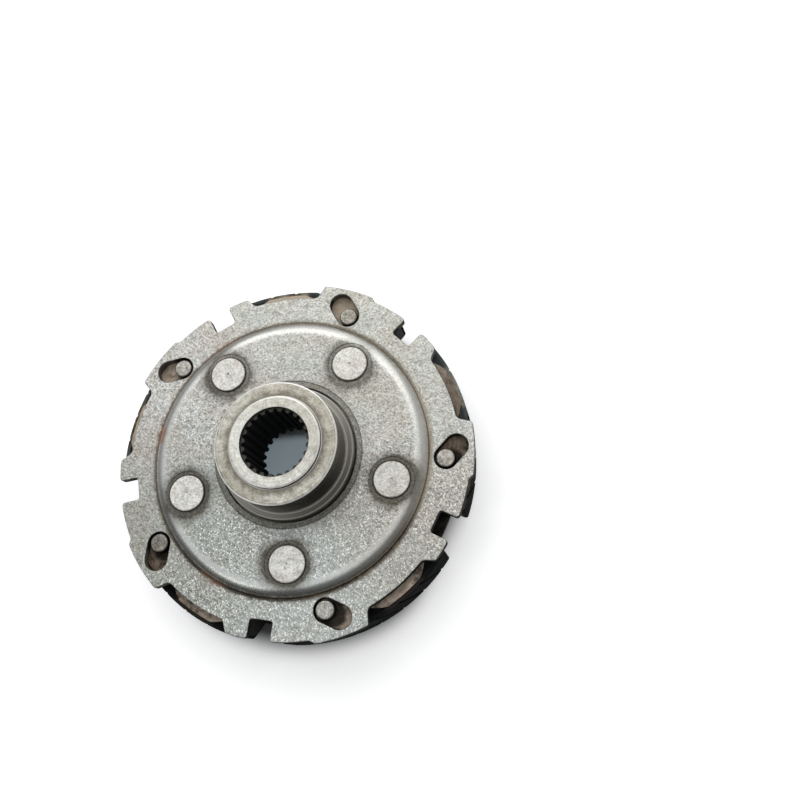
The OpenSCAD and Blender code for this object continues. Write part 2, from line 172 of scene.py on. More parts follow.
def blastedSteel():
    # Pressed mild steel, shot blasted: coarse grey grain with painted glints, brown where oil and rust stay in
    # corners, and painted light and shade on its sides.
    look = {
        "grain": 0.7, "glint": 0.42, "patch": 15.0, "speck": 2.0,  # mm; real grit is finer, drawn coarser to show
        "grainColours": [(0.3, "#7d7c78"), (0.44, "#bcbcb8"), (0.56, "#dcdcd8"), (0.7, "#fcfcfa")],
        "patchColours": [(0.36, "#e4ded7"), (0.5, "#edeeeb"), (0.64, "#dee4e3")], "patchAmount": 0.65,
        "speckColours": [(0.36, "#ebe8e4"), (0.56, "#ffffff")],
        # Painted sheen that evens the grain on the side towards the light, and painted shade on the side away from
        # it
        "evenSheen": ((60, -0.3, 0.8), 0.35, "#cacac5"), "awayShade": ((258, -0.3, 0.9), 0.52, "#8d918d"),
        "lively": ((285, -0.2, 0.9), 0.25, 1.1),  # side, and the share of painted glints away from it and on it
        # Bright cells are painted glints, dark cells are pits
        "glints": [(0.86, 0.91, 1.0, "#fdfdfb"), (0.89, 0.96, 0.7, "#625b52")],  # start, full, amount, colour
        "glintStreak": (0.62, 0.69, 0.7, "#f6f5f1"), "glintStreakSize": (0.34, 3.2), "glintStreakHeadings": (32, 75, 140),
        # Slope of the dish, mm from the axis
        # This side lies away from the main light: the slope and foot are darker there as painted shade, with oil
        "slope": (44.6, 46.6), "slopeFoot": (50.2, 50.8), "slopeFilm": (0.6, "#cfcfcb"), "oilAndShade": (268, -0.1, 0.6),
        # A painted gleam on one side of the plate
        "gleam": (291, 0.6, 1.0), "paintedGleam": (0.16, "#f6f7f6"),
        # Painted highlight along the top of the slope on one side
        "shoulder": (46.9, 48.3, 0.28), "shoulderHighlight": "#f6f7f6",
        "shade": (46.9, 48.4), "shadeAmount": 0.78, "shadeSide": (125, 0.3, 0.9),
        "shadeColours": ("#a6a6a2", "#858480", "#6b6a66"),  # plain, on the shade side, on the side away from the main light
        # Painted shade with a faint tint on three sides, and painted shade on the flats on one side
        "sideShades": [(255, 0.0, 0.8, "#fbfefc"), (60, 0.2, 0.9, "#f5f5f2"), (328, 0.78, 1.0, "#efebe6")],
        "flats": (50.0, 51.0), "flatShade": (208, 0.7, 1.0), "flatShadeColour": "#fbf9f6",
        # Foot of the dish
        "footRadius": 50.6, "footCore": 0.25, "footWidth": 1.7, "footReach": (0.5, 1.5), "footAmount": 0.95,
        "footColours": [(0.35, "#443e35"), (0.5, "#5d5548"), (0.68, "#7b7161")], "footLit": (0.12, "#a39a88"),
        # The foot is lighter away from the shaded side and paler on one more side: painted light
        "footPale": (0, 0.75, 1.0), "footPaleColour": "#9a9182",
        "footShades": [(243, 0.7, 1.0, "#aaa6a1"), (120, 0.85, 1.0, "#dcd4cb")],
        "rust": (0.58, 0.68, 0.0, 0.25), "rustColour": "#6c5140",
        "rustSpots": [  # radius, degrees, size
            (51.5, 164, 9.0), (51.6, 121, 7.0), (51.4, 237, 5.0), (27.5, 62, 4.0)],
        "spot": (0.5, 1.6, 0.9), "bloom": (0.7, 0.3, "#9a8473"),  # shares of a spot's size, amount
        "rustPatch": [(49.3, 165.4), (49.3, 167.6), (49.3, 169.8)],  # radius, degrees
        "patchRust": (0.5, 2.0, 0.75, 0.0), "patchRustColour": "#9f745b",
        # Halos round the posts and the collar
        # The post halos fade on the side towards the light: oil stain with painted shade
        "posts": (39.0, 0.0), "creep": (0.35, 0.65, 0.8, 0.35), "faint": ((70, 0.2, 0.9), 0.72),
        "postHalos": [(8.4, 12.4, 0.55), (8.0, 9.6, 0.85)], "collarHalo": (27.2, 31.4, 0.15),
        "haloColours": [(0.3, "#45423a"), (0.5, "#545147"), (0.7, "#69665b")],
        "ring": (26.8, 27.5, 0.76), "ringFaint": ((40, 0.0, 0.9), 0.8),
        "headShadow": (6.55, 7.25, 0.75), "headShadowColour": "#2a2720",
        # Cut edges
        "wallLevel": (0.5, 0.96), "wallFrom": (50.6, 51.2), "slotWall": (60.5, 62.0, 0.85),
        "wallSide": (290, 0.2, 0.7),
        "wallColours": ("#5e5951", "#0c0b0a", "#12100e"),  # dry, on the side away from the light, in the slots; the last two blacker as painted shade
        # Gloss
        "struckPost": (7.8, 8.3), "struckCollar": (26.6, 27.2), "struck": 0.6,
        "roughness": (0.5, 0.36), "slopeGloss": 0.17, "wallRoughness": 0.75,
        "cellHeight": 0.35, "bump": 0.17, "bumpShare": (1.0, 0.2), "metallic": (0.92, 0.05), "specular": 0.1,
    }
    material, add = startMaterial("blastedSteel")
    place, flat, radius, level = radialPlace(add)
    side = partial(lightAndShadeSide, add, flat)
    grain = add("TexNoise", {"Vector": place, "Scale": perMm(look["grain"]), "Detail": 2.5, "Roughness": 0.65})
    patch = add("TexNoise", {"Vector": place, "Scale": perMm(look["patch"]), "Detail": 4.0})
    speck = add("TexNoise", {"Vector": place, "Scale": perMm(look["speck"]), "Detail": 3.0, "Roughness": 0.7})
    cell = add("TexVoronoi", {"Vector": place, "Scale": perMm(look["glint"])}, "Color")
    cells = add("SeparateColor", [cell]).node.outputs

    base = add("ValToRGB", [grain], stops=look["grainColours"])
    # Painted sheen: the grain evened towards one tone on the side towards the light
    where, amount, colour = look["evenSheen"]
    evenSheen = add("MapRange", [side(*where), 0.0, 1.0, 0.0, amount], **smooth)
    base = add("Mix", {0: evenSheen, 6: base, 7: colour}, **mix)
    patchColour = add("ValToRGB", [patch], stops=look["patchColours"])
    base = add("Mix", {0: look["patchAmount"], 6: base, 7: patchColour}, **tint)
    # Painted shade: the plate darker on the side away from the light
    where, amount, colour = look["awayShade"]
    awayShade = add("Math", [side(*where), amount], operation="MULTIPLY")
    base = add("Mix", {0: awayShade, 6: base, 7: colour}, **mix)

    # Painted glints and dark pits, more of them on one side
    where, least, most = look["lively"]
    lively = add("MapRange", [side(*where), 0.0, 1.0, least, most], **smooth)
    for channel, (low, high, amount, colour) in zip(cells, look["glints"]):
        glint = add("MapRange", [channel, low, high, 0.0, amount], **smooth)
        glint = add("Math", [glint, lively], operation="MULTIPLY")
        base = add("Mix", {0: glint, 6: base, 7: colour}, **mix)
    speckColour = add("ValToRGB", [speck], stops=look["speckColours"])
    base = add("Mix", {0: 1.0, 6: base, 7: speckColour}, **tint)
    # Short streaks of painted glints in three headings, more on one side
    width, length = look["glintStreakSize"]
    low, high, amount, colour = look["glintStreak"]
    for heading in look["glintStreakHeadings"]:
        along = add("VectorRotate", {"Vector": flat, "Angle": math.radians(heading)}, rotation_type="Z_AXIS")
        along = add("VectorMath", [along, (1 / length, 1 / width, 1.0)], operation="MULTIPLY")
        glintStreak = add("TexNoise", {"Vector": along, "Scale": 1.0, "Detail": 1.0})
        glintStreak = add("MapRange", [glintStreak, low, high, 0.0, amount], **smooth)
        glintStreak = add("Math", [glintStreak, lively], operation="MULTIPLY")
        base = add("Mix", {0: glintStreak, 6: base, 7: colour}, **mix)

    # The pressed slope of the dish is burnished smoother than the blasted faces; a painted gleam lies on one side
    # of the plate, a painted highlight along the top of the slope and painted shade lower down
    inside = add("MapRange", [radius, *look["slopeFoot"], 1.0, 0.0], **smooth)
    slope = add("MapRange", [radius, *look["slope"], 0.0, 1.0], **smooth)
    slope = add("Math", [slope, inside], operation="MULTIPLY")
    for share, (amount, colour) in ((slope, look["slopeFilm"]), (side(*look["gleam"]), look["paintedGleam"])):
        share = add("Math", [share, amount], operation="MULTIPLY")
        base = add("Mix", {0: share, 6: base, 7: colour}, **mix)
    oilAndShade = side(*look["oilAndShade"])
    # Painted highlight along the top of the slope, on the side away from the main light
    shoulder = add("MapRange", [radius, *look["shoulder"], 0.0], **smooth)
    shoulder = add("Math", [slope, shoulder], operation="MULTIPLY")
    shoulder = add("Math", [shoulder, oilAndShade], operation="MULTIPLY")
    base = add("Mix", {0: shoulder, 6: base, 7: look["shoulderHighlight"]}, **mix)
    # Painted shade lower down the slope, darker on two sides
    shade = add("MapRange", [radius, *look["shade"], 0.0, look["shadeAmount"]], **smooth)
    shade = add("Math", [shade, inside], operation="MULTIPLY")
    plainShade, sideShade, oilyShade = look["shadeColours"]
    shadeColour = add("Mix", {0: side(*look["shadeSide"]), 6: plainShade, 7: sideShade}, **mix)
    shadeColour = add("Mix", {0: oilAndShade, 6: shadeColour, 7: oilyShade}, **mix)
    base = add("Mix", {0: shade, 6: base, 7: shadeColour}, **mix)
    # Painted shade and tint on three sides, then painted shade on the flats on one side
    base = sideShaded(add, flat, base, look["sideShades"])
    flats = add("MapRange", [radius, *look["flats"], 0.0, 1.0], **smooth)
    flatShade = add("Math", [side(*look["flatShade"]), flats], operation="MULTIPLY")
    base = add("Mix", {0: flatShade, 6: base, 7: look["flatShadeColour"]}, **tint)

    # Brown in the corner at the foot of the dish, uneven round it, with rust on one side; painted light makes it
    # paler on the lit sides and painted shade darker on the far side
    fromFoot = add("Math", [radius, look["footRadius"]], operation="SUBTRACT")
    fromFoot = add("Math", [fromFoot], operation="ABSOLUTE")
    reach = add("MapRange", [speck, *spread, *look["footReach"]], **smooth)
    reach = add("Math", [reach, look["footWidth"]], operation="MULTIPLY")
    foot = add("MapRange", [fromFoot, look["footCore"], reach, look["footAmount"], 0.0], **smooth)
    footColour = add("ValToRGB", [speck], stops=look["footColours"])
    amount, colour = look["footLit"]
    litFoot = add("Mix", {0: amount, 6: footColour, 7: colour}, **mix)
    footColour = add("Mix", {0: oilAndShade, 6: litFoot, 7: footColour}, **mix)
    footColour = add("Mix", {0: side(*look["footPale"]), 6: footColour, 7: look["footPaleColour"]}, **mix)
    footColour = sideShaded(add, flat, footColour, look["footShades"])
    rust = add("MapRange", [patch, *look["rust"]], **smooth)
    near, far, spotAmount = look["spot"]
    bloomReach, bloomAmount, bloomColour = look["bloom"]
    for spotRadius, spotDegrees, size in look["rustSpots"]:
        away = add("VectorMath", [flat, polar(spotRadius, spotDegrees)], "Value", operation="DISTANCE")
        spot = add("MapRange", [away, size * near, size * far, spotAmount, 0.0], **smooth)
        rust = add("Math", [rust, spot], operation="MAXIMUM")
        uneven = add("MapRange", [speck, *spread, size, -size])
        bloom = add("Math", [away, uneven], operation="ADD")
        bloom = add("MapRange", [bloom, 0.0, size * bloomReach, bloomAmount, 0.0], **smooth)
        base = add("Mix", {0: bloom, 6: base, 7: bloomColour}, **mix)
    footColour = add("Mix", {0: rust, 6: footColour, 7: look["rustColour"]}, **mix)
    base = add("Mix", {0: foot, 6: base, 7: footColour}, **mix)
    for spotRadius, spotDegrees in look["rustPatch"]:  # one patch of red rust, on the slope beside the foot
        away = add("VectorMath", [flat, polar(spotRadius, spotDegrees)], "Value", operation="DISTANCE")
        away = add("MapRange", [away, *look["patchRust"]], **smooth)
        base = add("Mix", {0: away, 6: base, 7: look["patchRustColour"]}, **mix)

    # Oily halos round the posts and the collar, where the plate was struck smooth; they fade on the side towards
    # the light, so on the far side they are painted shade as well
    low, high, wide, fine = look["creep"]
    wideCreep = add("MapRange", [patch, low, high, -wide, wide], **smooth)
    fineCreep = add("MapRange", [speck, *spread, -fine, fine])
    creep = add("Math", [wideCreep, fineCreep], operation="ADD")
    fromPost = sameTurn(add, flat, radius, *look["posts"])
    where, least = look["faint"]
    faint = add("MapRange", [side(*where), 0.0, 1.0, 1.0, least], **smooth)
    haloColour = add("ValToRGB", [grain], stops=look["haloColours"])
    halos = [(fromPost, extent) for extent in look["postHalos"]] + [(radius, look["collarHalo"])]
    for distance, extent in halos:
        distance = add("Math", [distance, creep], operation="ADD")
        halo = add("MapRange", [distance, *extent, 0.0], **smooth)
        halo = add("Math", [halo, faint], operation="MULTIPLY")
        base = add("Mix", {0: halo, 6: base, 7: haloColour}, **mix)
    # A dark ring at the coined edge round the collar, a stain with painted shade, fainter towards the light
    where, least = look["ringFaint"]
    ringFaint = add("MapRange", [side(*where), 0.0, 1.0, 1.0, least], **smooth)
    ring = add("MapRange", [radius, *look["ring"], 0.0], **smooth)
    ring = add("Math", [ring, ringFaint], operation="MULTIPLY")
    base = add("Mix", {0: ring, 6: base, 7: haloColour}, **mix)
    # Painted shadow: a thin dark line round each post head
    headShadow = add("MapRange", [fromPost, *look["headShadow"], 0.0], **smooth)
    base = add("Mix", {0: headShadow, 6: base, 7: look["headShadowColour"]}, **mix)

    # Cut edges are black with old oil, and blacker with painted shade on the side away from the light and in the
    # slots
    upright = add("MapRange", [level, *look["wallLevel"], 1.0, 0.0], **smooth)
    outer = add("MapRange", [radius, *look["wallFrom"], 0.0, 1.0], **smooth)
    wall = add("Math", [upright, outer], operation="MULTIPLY")
    dryWall, shadedWall, slotColour = look["wallColours"]
    wallColour = add("Mix", {0: side(*look["wallSide"]), 6: dryWall, 7: shadedWall}, **mix)
    slotWall = add("MapRange", [radius, *look["slotWall"], 0.0], **smooth)
    wallColour = add("Mix", {0: slotWall, 6: wallColour, 7: slotColour}, **mix)
    base = add("Mix", {0: wall, 6: base, 7: wallColour}, **mix)

    struck = slope
    for distance, extent in ((fromPost, look["struckPost"]), (radius, look["struckCollar"])):
        flattened = add("MapRange", [distance, *extent, look["struck"], 0.0], **smooth)
        struck = add("Math", [struck, flattened], operation="MAXIMUM")
    rough = add("MapRange", [grain, *spread, *look["roughness"]])
    gloss = add("Math", [slope, look["slopeGloss"]], operation="MULTIPLY")
    rough = add("Math", [rough, gloss], operation="SUBTRACT")
    wallRough = add("Math", [wall, look["wallRoughness"]], operation="MULTIPLY")
    rough = add("Math", [rough, wallRough], operation="MAXIMUM")
    height = add("Math", [cells[2], look["cellHeight"]], operation="MULTIPLY")
    height = add("Math", [grain, height], operation="ADD")
    strength = add("MapRange", [struck, 0.0, 1.0, *look["bumpShare"]], **smooth)
    bump = add("Bump", {"Strength": strength, "Distance": look["bump"] * mm, "Height": height})
    metal = add("MapRange", [wall, 0.0, 1.0, *look["metallic"]], **smooth)
    finishMaterial(add, {
        "Base Color": base, "Roughness": rough, "Metallic": metal, "Normal": bump,
        "Specular IOR Level": look["specular"]})
    return material


def machinedHub():
    # Forged steel, turned on top and ground on the boss: rings of tool marks, a dark race, an oily black bore,
    # with painted shade deep in the bore, painted highlights on the corners and painted light and shade on some
    # sides.
    look = {
        "marks": 0.4, "cloud": 2.6, "grit": 0.6,  # mm; the real marks are finer, drawn coarser to show
        "topColours": [(0.38, "#8b887b"), (0.5, "#bab7ab"), (0.62, "#dad7cc")],
        "noseColours": [(0.38, "#a8a79d"), (0.5, "#cfcec4"), (0.62, "#eeede6")],
        "raceColours": [(0.35, "#696861"), (0.5, "#787770"), (0.66, "#898880")],
        "collarColours": [(0.35, "#858279"), (0.5, "#96938a"), (0.66, "#a6a39a")],
        # Painted shade on sides of the top, race, collar and nose
        "topShades": [(224, 0.75, 1.0, "#e2e0dc")], "raceShades": [(286, 0.45, 0.95, "#404442")],
        "collarShades": [(335, 0.2, 0.9, "#d0ceca")], "sideShades": [(40, -0.4, 0.8, "#e4e2df")],
        # Painted reflection: the upper race lighter
        "raceUpper": (34.0, 40.0, 0.0, 0.4), "raceUpperColour": "#a9a8a0",  # mm above the floor
        # Painted light on the collar's side on one side of the part
        "collarPale": ((25, 0.7, 1.0), 0.9, "#dcdad2"), "upright": (0.25, 0.6),
        "stain": (16.6, 19.2, 0.75), "stainEdge": 0.5, "stainColour": "#6c6658",  # mm from the axis
        "noseFrom": (43.3, 43.6), "collarTo": (30.6, 31.2),
        # Painted highlights on the rounded corners
        "cornerFrom": (0.3, 0.55), "cornerTo": (0.93, 0.98, 0.9), "cornerFaint": ((335, -0.1, 0.8), 0.55),
        "collarCorner": 0.35, "cornerHighlight": "#fbfaf6",
        "bore": (12.25, 12.35), "boreTop": (43.7, 43.9), "boreLevel": (0.5, 0.9),
        "boreColours": ("#030405", "#504e48"),  # walls, level faces
        "roughness": (0.32, 0.46), "raceGloss": 0.2, "collarRoughness": 0.55,
        "gritHeight": 0.8, "bump": 0.012, "bumpShare": (0.8, 0.4), "metallic": (0.96, 0.1),
    }
    material, add = startMaterial("machinedSteel")
    place, flat, radius, level = radialPlace(add)
    side = partial(lightAndShadeSide, add, flat)
    height = add("Math", [add("SeparateXYZ", [place], "Z"), 1 / mm], operation="MULTIPLY")
    path = add("Math", [radius, height], operation="ADD")
    marks = add("TexNoise", {"W": path, "Scale": 1 / look["marks"], "Detail": 3.0, "Roughness": 0.7},
                noise_dimensions="1D")
    cloud = add("TexNoise", {"Vector": place, "Scale": perMm(look["cloud"]), "Detail": 5.0, "Roughness": 0.65})
    grit = add("TexNoise", {"Vector": place, "Scale": perMm(look["grit"]), "Detail": 1.5})
    # The mean of the cloud with the mean of grit and marks
    mixed = add("Math", [grit, marks], operation="ADD")
    mixed = add("Math", [mixed, 0.5], operation="MULTIPLY")
    mixed = add("Math", [cloud, mixed], operation="ADD")
    mixed = add("Math", [mixed, 0.5], operation="MULTIPLY")

    # Top and its oily ring at the nose's foot, nose face, ground race and collar; painted shade lies on some sides
    # of each, and painted light on the upper race and one side of the collar
    top = sideShaded(add, flat, add("ValToRGB", [mixed], stops=look["topColours"]), look["topShades"])
    nose = add("ValToRGB", [mixed], stops=look["noseColours"])
    race = add("ValToRGB", [marks], stops=look["raceColours"])
    # Painted reflection: the upper part of the race lighter
    raceUpper = add("MapRange", [height, *look["raceUpper"]], **smooth)
    race = add("Mix", {0: raceUpper, 6: race, 7: look["raceUpperColour"]}, **mix)
    race = sideShaded(add, flat, race, look["raceShades"])
    upright = add("MapRange", [level, *look["upright"], 1.0, 0.0], **smooth)
    collar = add("ValToRGB", [marks], stops=look["collarColours"])
    collarTop = sideShaded(add, flat, collar, look["collarShades"])
    # Painted light on the collar's side on one side of the part
    where, amount, colour = look["collarPale"]
    pale = add("Math", [side(*where), amount], operation="MULTIPLY")
    collarSide = add("Mix", {0: pale, 6: collar, 7: colour}, **mix)
    collar = add("Mix", {0: upright, 6: collarTop, 7: collarSide}, **mix)
    uneven = add("MapRange", [cloud, *spread, -look["stainEdge"], look["stainEdge"]], **smooth)
    stain = add("Math", [radius, uneven], operation="ADD")
    stain = add("MapRange", [stain, *look["stain"], 0.0], **smooth)
    base = add("Mix", {0: stain, 6: top, 7: look["stainColour"]}, **mix)
    noseShare = add("MapRange", [height, *look["noseFrom"], 0.0, 1.0], **smooth)
    base = add("Mix", {0: noseShare, 6: base, 7: nose}, **mix)
    # Painted shade on one side of the top and nose
    base = sideShaded(add, flat, base, look["sideShades"])
    base = add("Mix", {0: upright, 6: base, 7: race}, **mix)
    collarShare = add("MapRange", [height, *look["collarTo"], 1.0, 0.0], **smooth)
    base = add("Mix", {0: collarShare, 6: base, 7: collar}, **mix)

    # Corners get a painted highlight, less so round the collar and on one side
    corner = add("MapRange", [level, *look["cornerFrom"], 0.0, 1.0], **smooth)
    cornerEnd = add("MapRange", [level, *look["cornerTo"], 0.0], **smooth)
    where, least = look["cornerFaint"]
    faint = add("MapRange", [side(*where), 0.0, 1.0, 1.0, least], **smooth)
    collarFaint = add("MapRange", [height, *look["collarTo"], look["collarCorner"], 1.0], **smooth)
    for share in (cornerEnd, faint, collarFaint):
        corner = add("Math", [corner, share], operation="MULTIPLY")
    base = add("Mix", {0: corner, 6: base, 7: look["cornerHighlight"]}, **mix)

    # The bore is black below the nose face: old oil, and painted shade deep inside it
    within = add("MapRange", [radius, *look["bore"], 1.0, 0.0], **smooth)
    below = add("MapRange", [height, *look["boreTop"], 1.0, 0.0], **smooth)
    bore = add("Math", [within, below], operation="MULTIPLY")
    boreLevel = add("MapRange", [level, *look["boreLevel"], 0.0, 1.0], **smooth)
    wallColour, ledgeColour = look["boreColours"]
    boreColour = add("Mix", {0: boreLevel, 6: wallColour, 7: ledgeColour}, **mix)
    base = add("Mix", {0: bore, 6: base, 7: boreColour}, **mix)

    rough = add("MapRange", [cloud, *spread, *look["roughness"]])
    gloss = add("Math", [upright, look["raceGloss"]], operation="MULTIPLY")
    rough = add("Math", [rough, gloss], operation="SUBTRACT")
    collarRough = add("MapRange", [height, *look["collarTo"], look["collarRoughness"], 0.0], **smooth)
    rough = add("Math", [rough, collarRough], operation="MAXIMUM")
    rough = add("Math", [rough, bore], operation="MAXIMUM")
    relief = add("Math", [grit, look["gritHeight"]], operation="MULTIPLY")
    relief = add("Math", [marks, relief], operation="ADD")
    strength = add("MapRange", [upright, 0.0, 1.0, *look["bumpShare"]], **smooth)
    bump = add("Bump", {"Strength": strength, "Distance": look["bump"] * mm, "Height": relief})
    metal = add("MapRange", [bore, 0.0, 1.0, *look["metallic"]], **smooth)
    finishMaterial(add, {"Base Color": base, "Roughness": rough, "Metallic": metal, "Normal": bump})
    return material


def turnedSteel(name, look):
    # Turned, rolled or drawn steel: fine marks of its making, with a faint cloud of handling marks over them.
    shared = {
        "cloud": 3.0, "grit": 0.6, "bump": 0.004,  # mm
        "bumpStrength": 0.7, "metallic": 1.0,
    }
    material, add = startMaterial(name)
    place, _, radius, _ = radialPlace(add)
    height = add("Math", [add("SeparateXYZ", [place], "Z"), 1 / mm], operation="MULTIPLY")
    path = add("Math", [radius, height], operation="ADD")
    marks = add("TexNoise", {"W": path, "Scale": 1 / look["groove"], "Detail": 2.0}, noise_dimensions="1D")
    cloud = add("TexNoise", {"Vector": place, "Scale": perMm(shared["cloud"]), "Detail": 5.0, "Roughness": 0.65})
    grit = add("TexNoise", {"Vector": place, "Scale": perMm(shared["grit"]), "Detail": 1.0})
    mixed = add("Math", [cloud, grit], operation="ADD")
    mixed = add("Math", [mixed, 0.5], operation="MULTIPLY")
    base = add("ValToRGB", [mixed], stops=list(zip(tones, look["colours"])))
    rough = add("MapRange", [cloud, *spread, *look["roughness"]])
    bump = add("Bump", {"Strength": shared["bumpStrength"], "Distance": shared["bump"] * mm, "Height": marks})
    finishMaterial(add, {"Base Color": base, "Roughness": rough, "Normal": bump, "Metallic": shared["metallic"]})
    return material


def rivetedSteel(name, look):
    # Steel struck and handled: smooth faces, clouded, with a dark rim where oil has dried, and painted shade on
    # some sides.
    shared = {
        "cloud": 2.6, "patch": 7.0, "grit": 0.7,  # mm
        "rimEdge": 0.06, "rim": (0.97, 1.04, 0.0, 0.5),  # shares of the half width
        "brown": (0.5, 0.68, 0.0, 0.2), "brownColour": "#b39f8f",
        "wall": (0.3, 0.7, 0.85, 0.0), "wallColour": "#2d2a26",
        "roughness": (0.36, 0.5), "bump": 0.05, "bumpStrength": 0.7, "metallic": 0.92,
    }
    material, add = startMaterial(name)
    place, flat, _, level = radialPlace(add)
    share = add("VectorMath", [add("TexCoord", out="Generated"), (0.5, 0.5, 0.0)], operation="SUBTRACT")
    share = add("VectorMath", [share, (2.0, 2.0, 0.0)], operation="MULTIPLY")
    share = add("VectorMath", [share], "Value", operation="LENGTH")  # 0 in the middle of the head, 1 at its rim
    cloud = add("TexNoise", {"Vector": place, "Scale": perMm(shared["cloud"]), "Detail": 5.0, "Roughness": 0.6})
    patch = add("TexNoise", {"Vector": place, "Scale": perMm(shared["patch"]), "Detail": 3.0})
    grit = add("TexNoise", {"Vector": place, "Scale": perMm(shared["grit"]), "Detail": 1.5})
    uneven = add("MapRange", [cloud, *spread, -shared["rimEdge"], shared["rimEdge"]])
    edge = add("Math", [share, uneven], operation="ADD")
    mixed = add("Math", [cloud, grit], operation="ADD")
    mixed = add("Math", [mixed, 0.5], operation="MULTIPLY")
    base = add("ValToRGB", [mixed], stops=list(zip(tones, look["colours"])))
    for value, extent, colour in (
            (patch, shared["brown"], shared["brownColour"]), (edge, shared["rim"], look["rimColour"]),
            (level, shared["wall"], shared["wallColour"])):
        stained = add("MapRange", [value, *extent], **smooth)
        base = add("Mix", {0: stained, 6: base, 7: colour}, **mix)
    # Painted shade on given sides of the heads and pins
    base = sideShaded(add, flat, base, look["sideShades"])
    rough = add("MapRange", [cloud, *spread, *shared["roughness"]])
    bump = add("Bump", {"Strength": shared["bumpStrength"], "Distance": shared["bump"] * mm, "Height": mixed})
    finishMaterial(add, {"Base Color": base, "Roughness": rough, "Normal": bump, "Metallic": shared["metallic"]})
    return material


def oiledCastIron():
    # Cast iron, black with old oil; the raised pads are rubbed brown along the way they swing. Painted light and
    # shade lie on some sides, and a painted shadow beside each pin.
    look = {
        "cloud": 4.0, "grain": 0.8,  # mm; real grain is finer, drawn coarser to show
        "pad": (20.85, 21.2),  # mm above the floor, between which the raised pads start
        "oilyColours": [(0.35, "#0b0a09"), (0.55, "#141210"), (0.72, "#241f1b")],
        "slate": (45, 0.0, 0.8), "slateFrom": (60.0, 61.5, 0.0, 0.7), "slateColour": "#444a4a",
        "streak": (1.6, 4.5), "streakRadius": 62.0,  # mm, width and length, and where they have that length
        "rubbedColours": [(0.34, "#7c7063"), (0.46, "#9f9181"), (0.56, "#b0a190"), (0.7, "#cabeac")],
        "stain": (0.5, 0.64, 0.0, 0.75), "stainColour": "#332d27",
        "pins": (56.0, 12.8), "pinShadowShift": (1.4, -1.2, 0.0), "pinShadowEdge": 1.0,  # mm, a painted shadow beside each pin, with the oil pooled there
        "pinShadowRing": (4.0, 6.0, 0.9, 0.0), "pinShadowColour": "#191614",
        "sideShades": [(212, 0.9, 1.0, "#bdb9b4"), (357, 0.8, 1.0, "#bfbbb6")],
        "padHighlightSides": [((78, 0.9, 1.0), 0.65), ((93, 0.93, 1.0), 0.65), ((160, 0.92, 1.0), 0.5)],
        "padHighlightColour": "#cbbaa3",
        "roughness": (0.5, 0.72), "bump": 0.07, "bumpStrength": 0.7, "specular": 0.04,
    }
    material, add = startMaterial("oiledCastIron")
    place, flat, radius, _ = radialPlace(add)
    side = partial(lightAndShadeSide, add, flat)
    cloud = add("TexNoise", {"Vector": place, "Scale": perMm(look["cloud"]), "Detail": 5.0, "Roughness": 0.65})
    grain = add("TexNoise", {"Vector": place, "Scale": perMm(look["grain"])})
    split = add("SeparateXYZ", [place]).node.outputs
    low, high = look["pad"]
    pad = add("MapRange", [split[2], low * mm, high * mm, 0.0, 1.0], **smooth)

    # Black with old oil, and so dark that it also paints the shade under the plate
    oilAndShade = add("ValToRGB", [cloud], stops=look["oilyColours"])
    # Painted sheen: a slate tone on the outer parts on one side
    slateFrom = add("MapRange", [radius, *look["slateFrom"]], **smooth)
    slate = add("Math", [side(*look["slate"]), slateFrom], operation="MULTIPLY")
    oilAndShade = add("Mix", {0: slate, 6: oilAndShade, 7: look["slateColour"]}, **mix)

    width, length = look["streak"]
    turn = add("Math", [split[1], split[0]], operation="ARCTAN2")
    outward = add("Math", [radius, width], operation="DIVIDE")
    onward = add("Math", [turn, look["streakRadius"] / length], operation="MULTIPLY")
    streakPlace = add("CombineXYZ", [outward, onward])
    streak = add("TexNoise", {"Vector": streakPlace, "Scale": 1.0, "Detail": 4.0, "Roughness": 0.65})
    rubbed = add("ValToRGB", [streak], stops=look["rubbedColours"])
    stain = add("MapRange", [cloud, *look["stain"]], **smooth)
    rubbed = add("Mix", {0: stain, 6: rubbed, 7: look["stainColour"]}, **mix)
    # Painted shadow beside each pin, shifted one way, with the oil pooled there
    shifted = add("VectorMath", [flat, look["pinShadowShift"]], operation="SUBTRACT")
    shiftedRadius = add("VectorMath", [shifted], "Value", operation="LENGTH")
    fromPin = sameTurn(add, shifted, shiftedRadius, *look["pins"])
    uneven = add("MapRange", [cloud, *spread, -look["pinShadowEdge"], look["pinShadowEdge"]])
    fromPin = add("Math", [fromPin, uneven], operation="ADD")
    pinShadow = add("MapRange", [fromPin, *look["pinShadowRing"]], **smooth)
    rubbed = add("Mix", {0: pinShadow, 6: rubbed, 7: look["pinShadowColour"]}, **mix)
    # Painted shade on two sides of the pads
    rubbed = sideShaded(add, flat, rubbed, look["sideShades"])
    # Painted light on the pads on some sides
    for where, amount in look["padHighlightSides"]:
        share = add("Math", [side(*where), amount], operation="MULTIPLY")
        rubbed = add("Mix", {0: share, 6: rubbed, 7: look["padHighlightColour"]}, **mix)

    base = add("Mix", {0: pad, 6: oilAndShade, 7: rubbed}, **mix)
    rough = add("MapRange", [cloud, *spread, *look["roughness"]])
    bump = add("Bump", {"Strength": look["bumpStrength"], "Distance": look["bump"] * mm, "Height": grain})
    finishMaterial(add, {
        "Base Color": base, "Roughness": rough, "Normal": bump, "Metallic": 0.0,
        "Specular IOR Level": look["specular"]})
    return material


